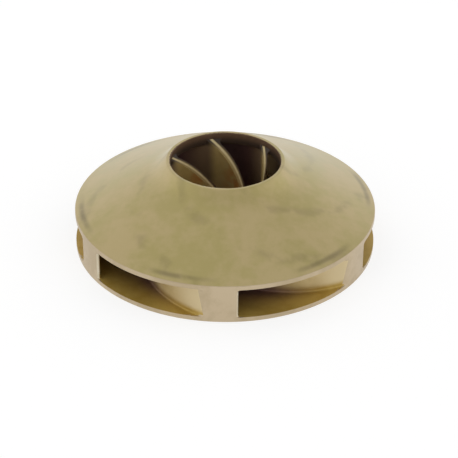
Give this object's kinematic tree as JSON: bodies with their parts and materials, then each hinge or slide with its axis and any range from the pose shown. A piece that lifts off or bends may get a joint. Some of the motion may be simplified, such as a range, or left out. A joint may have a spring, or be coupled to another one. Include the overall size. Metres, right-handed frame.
{
  "type": "pump impeller",
  "caption": "Closed centrifugal pump impeller: backward-curved vanes between a flat back shroud and a conical front shroud with a short raised eye, keyed shaft bore",
  "frame": {"origin": "centre of the flat back face, on the shaft axis", "axes": "+Z along the shaft, from the back face towards the eye; +Y through the keyway"},
  "size_m": [0.178, 0.178, 0.054],
  "materials": {
    "cast_bronze": "weathered sand-cast bronze, turned at the rim"
  },
  "bodies": {
    "root": {"impeller": "cast_bronze"}
  },
  "joints": []
}
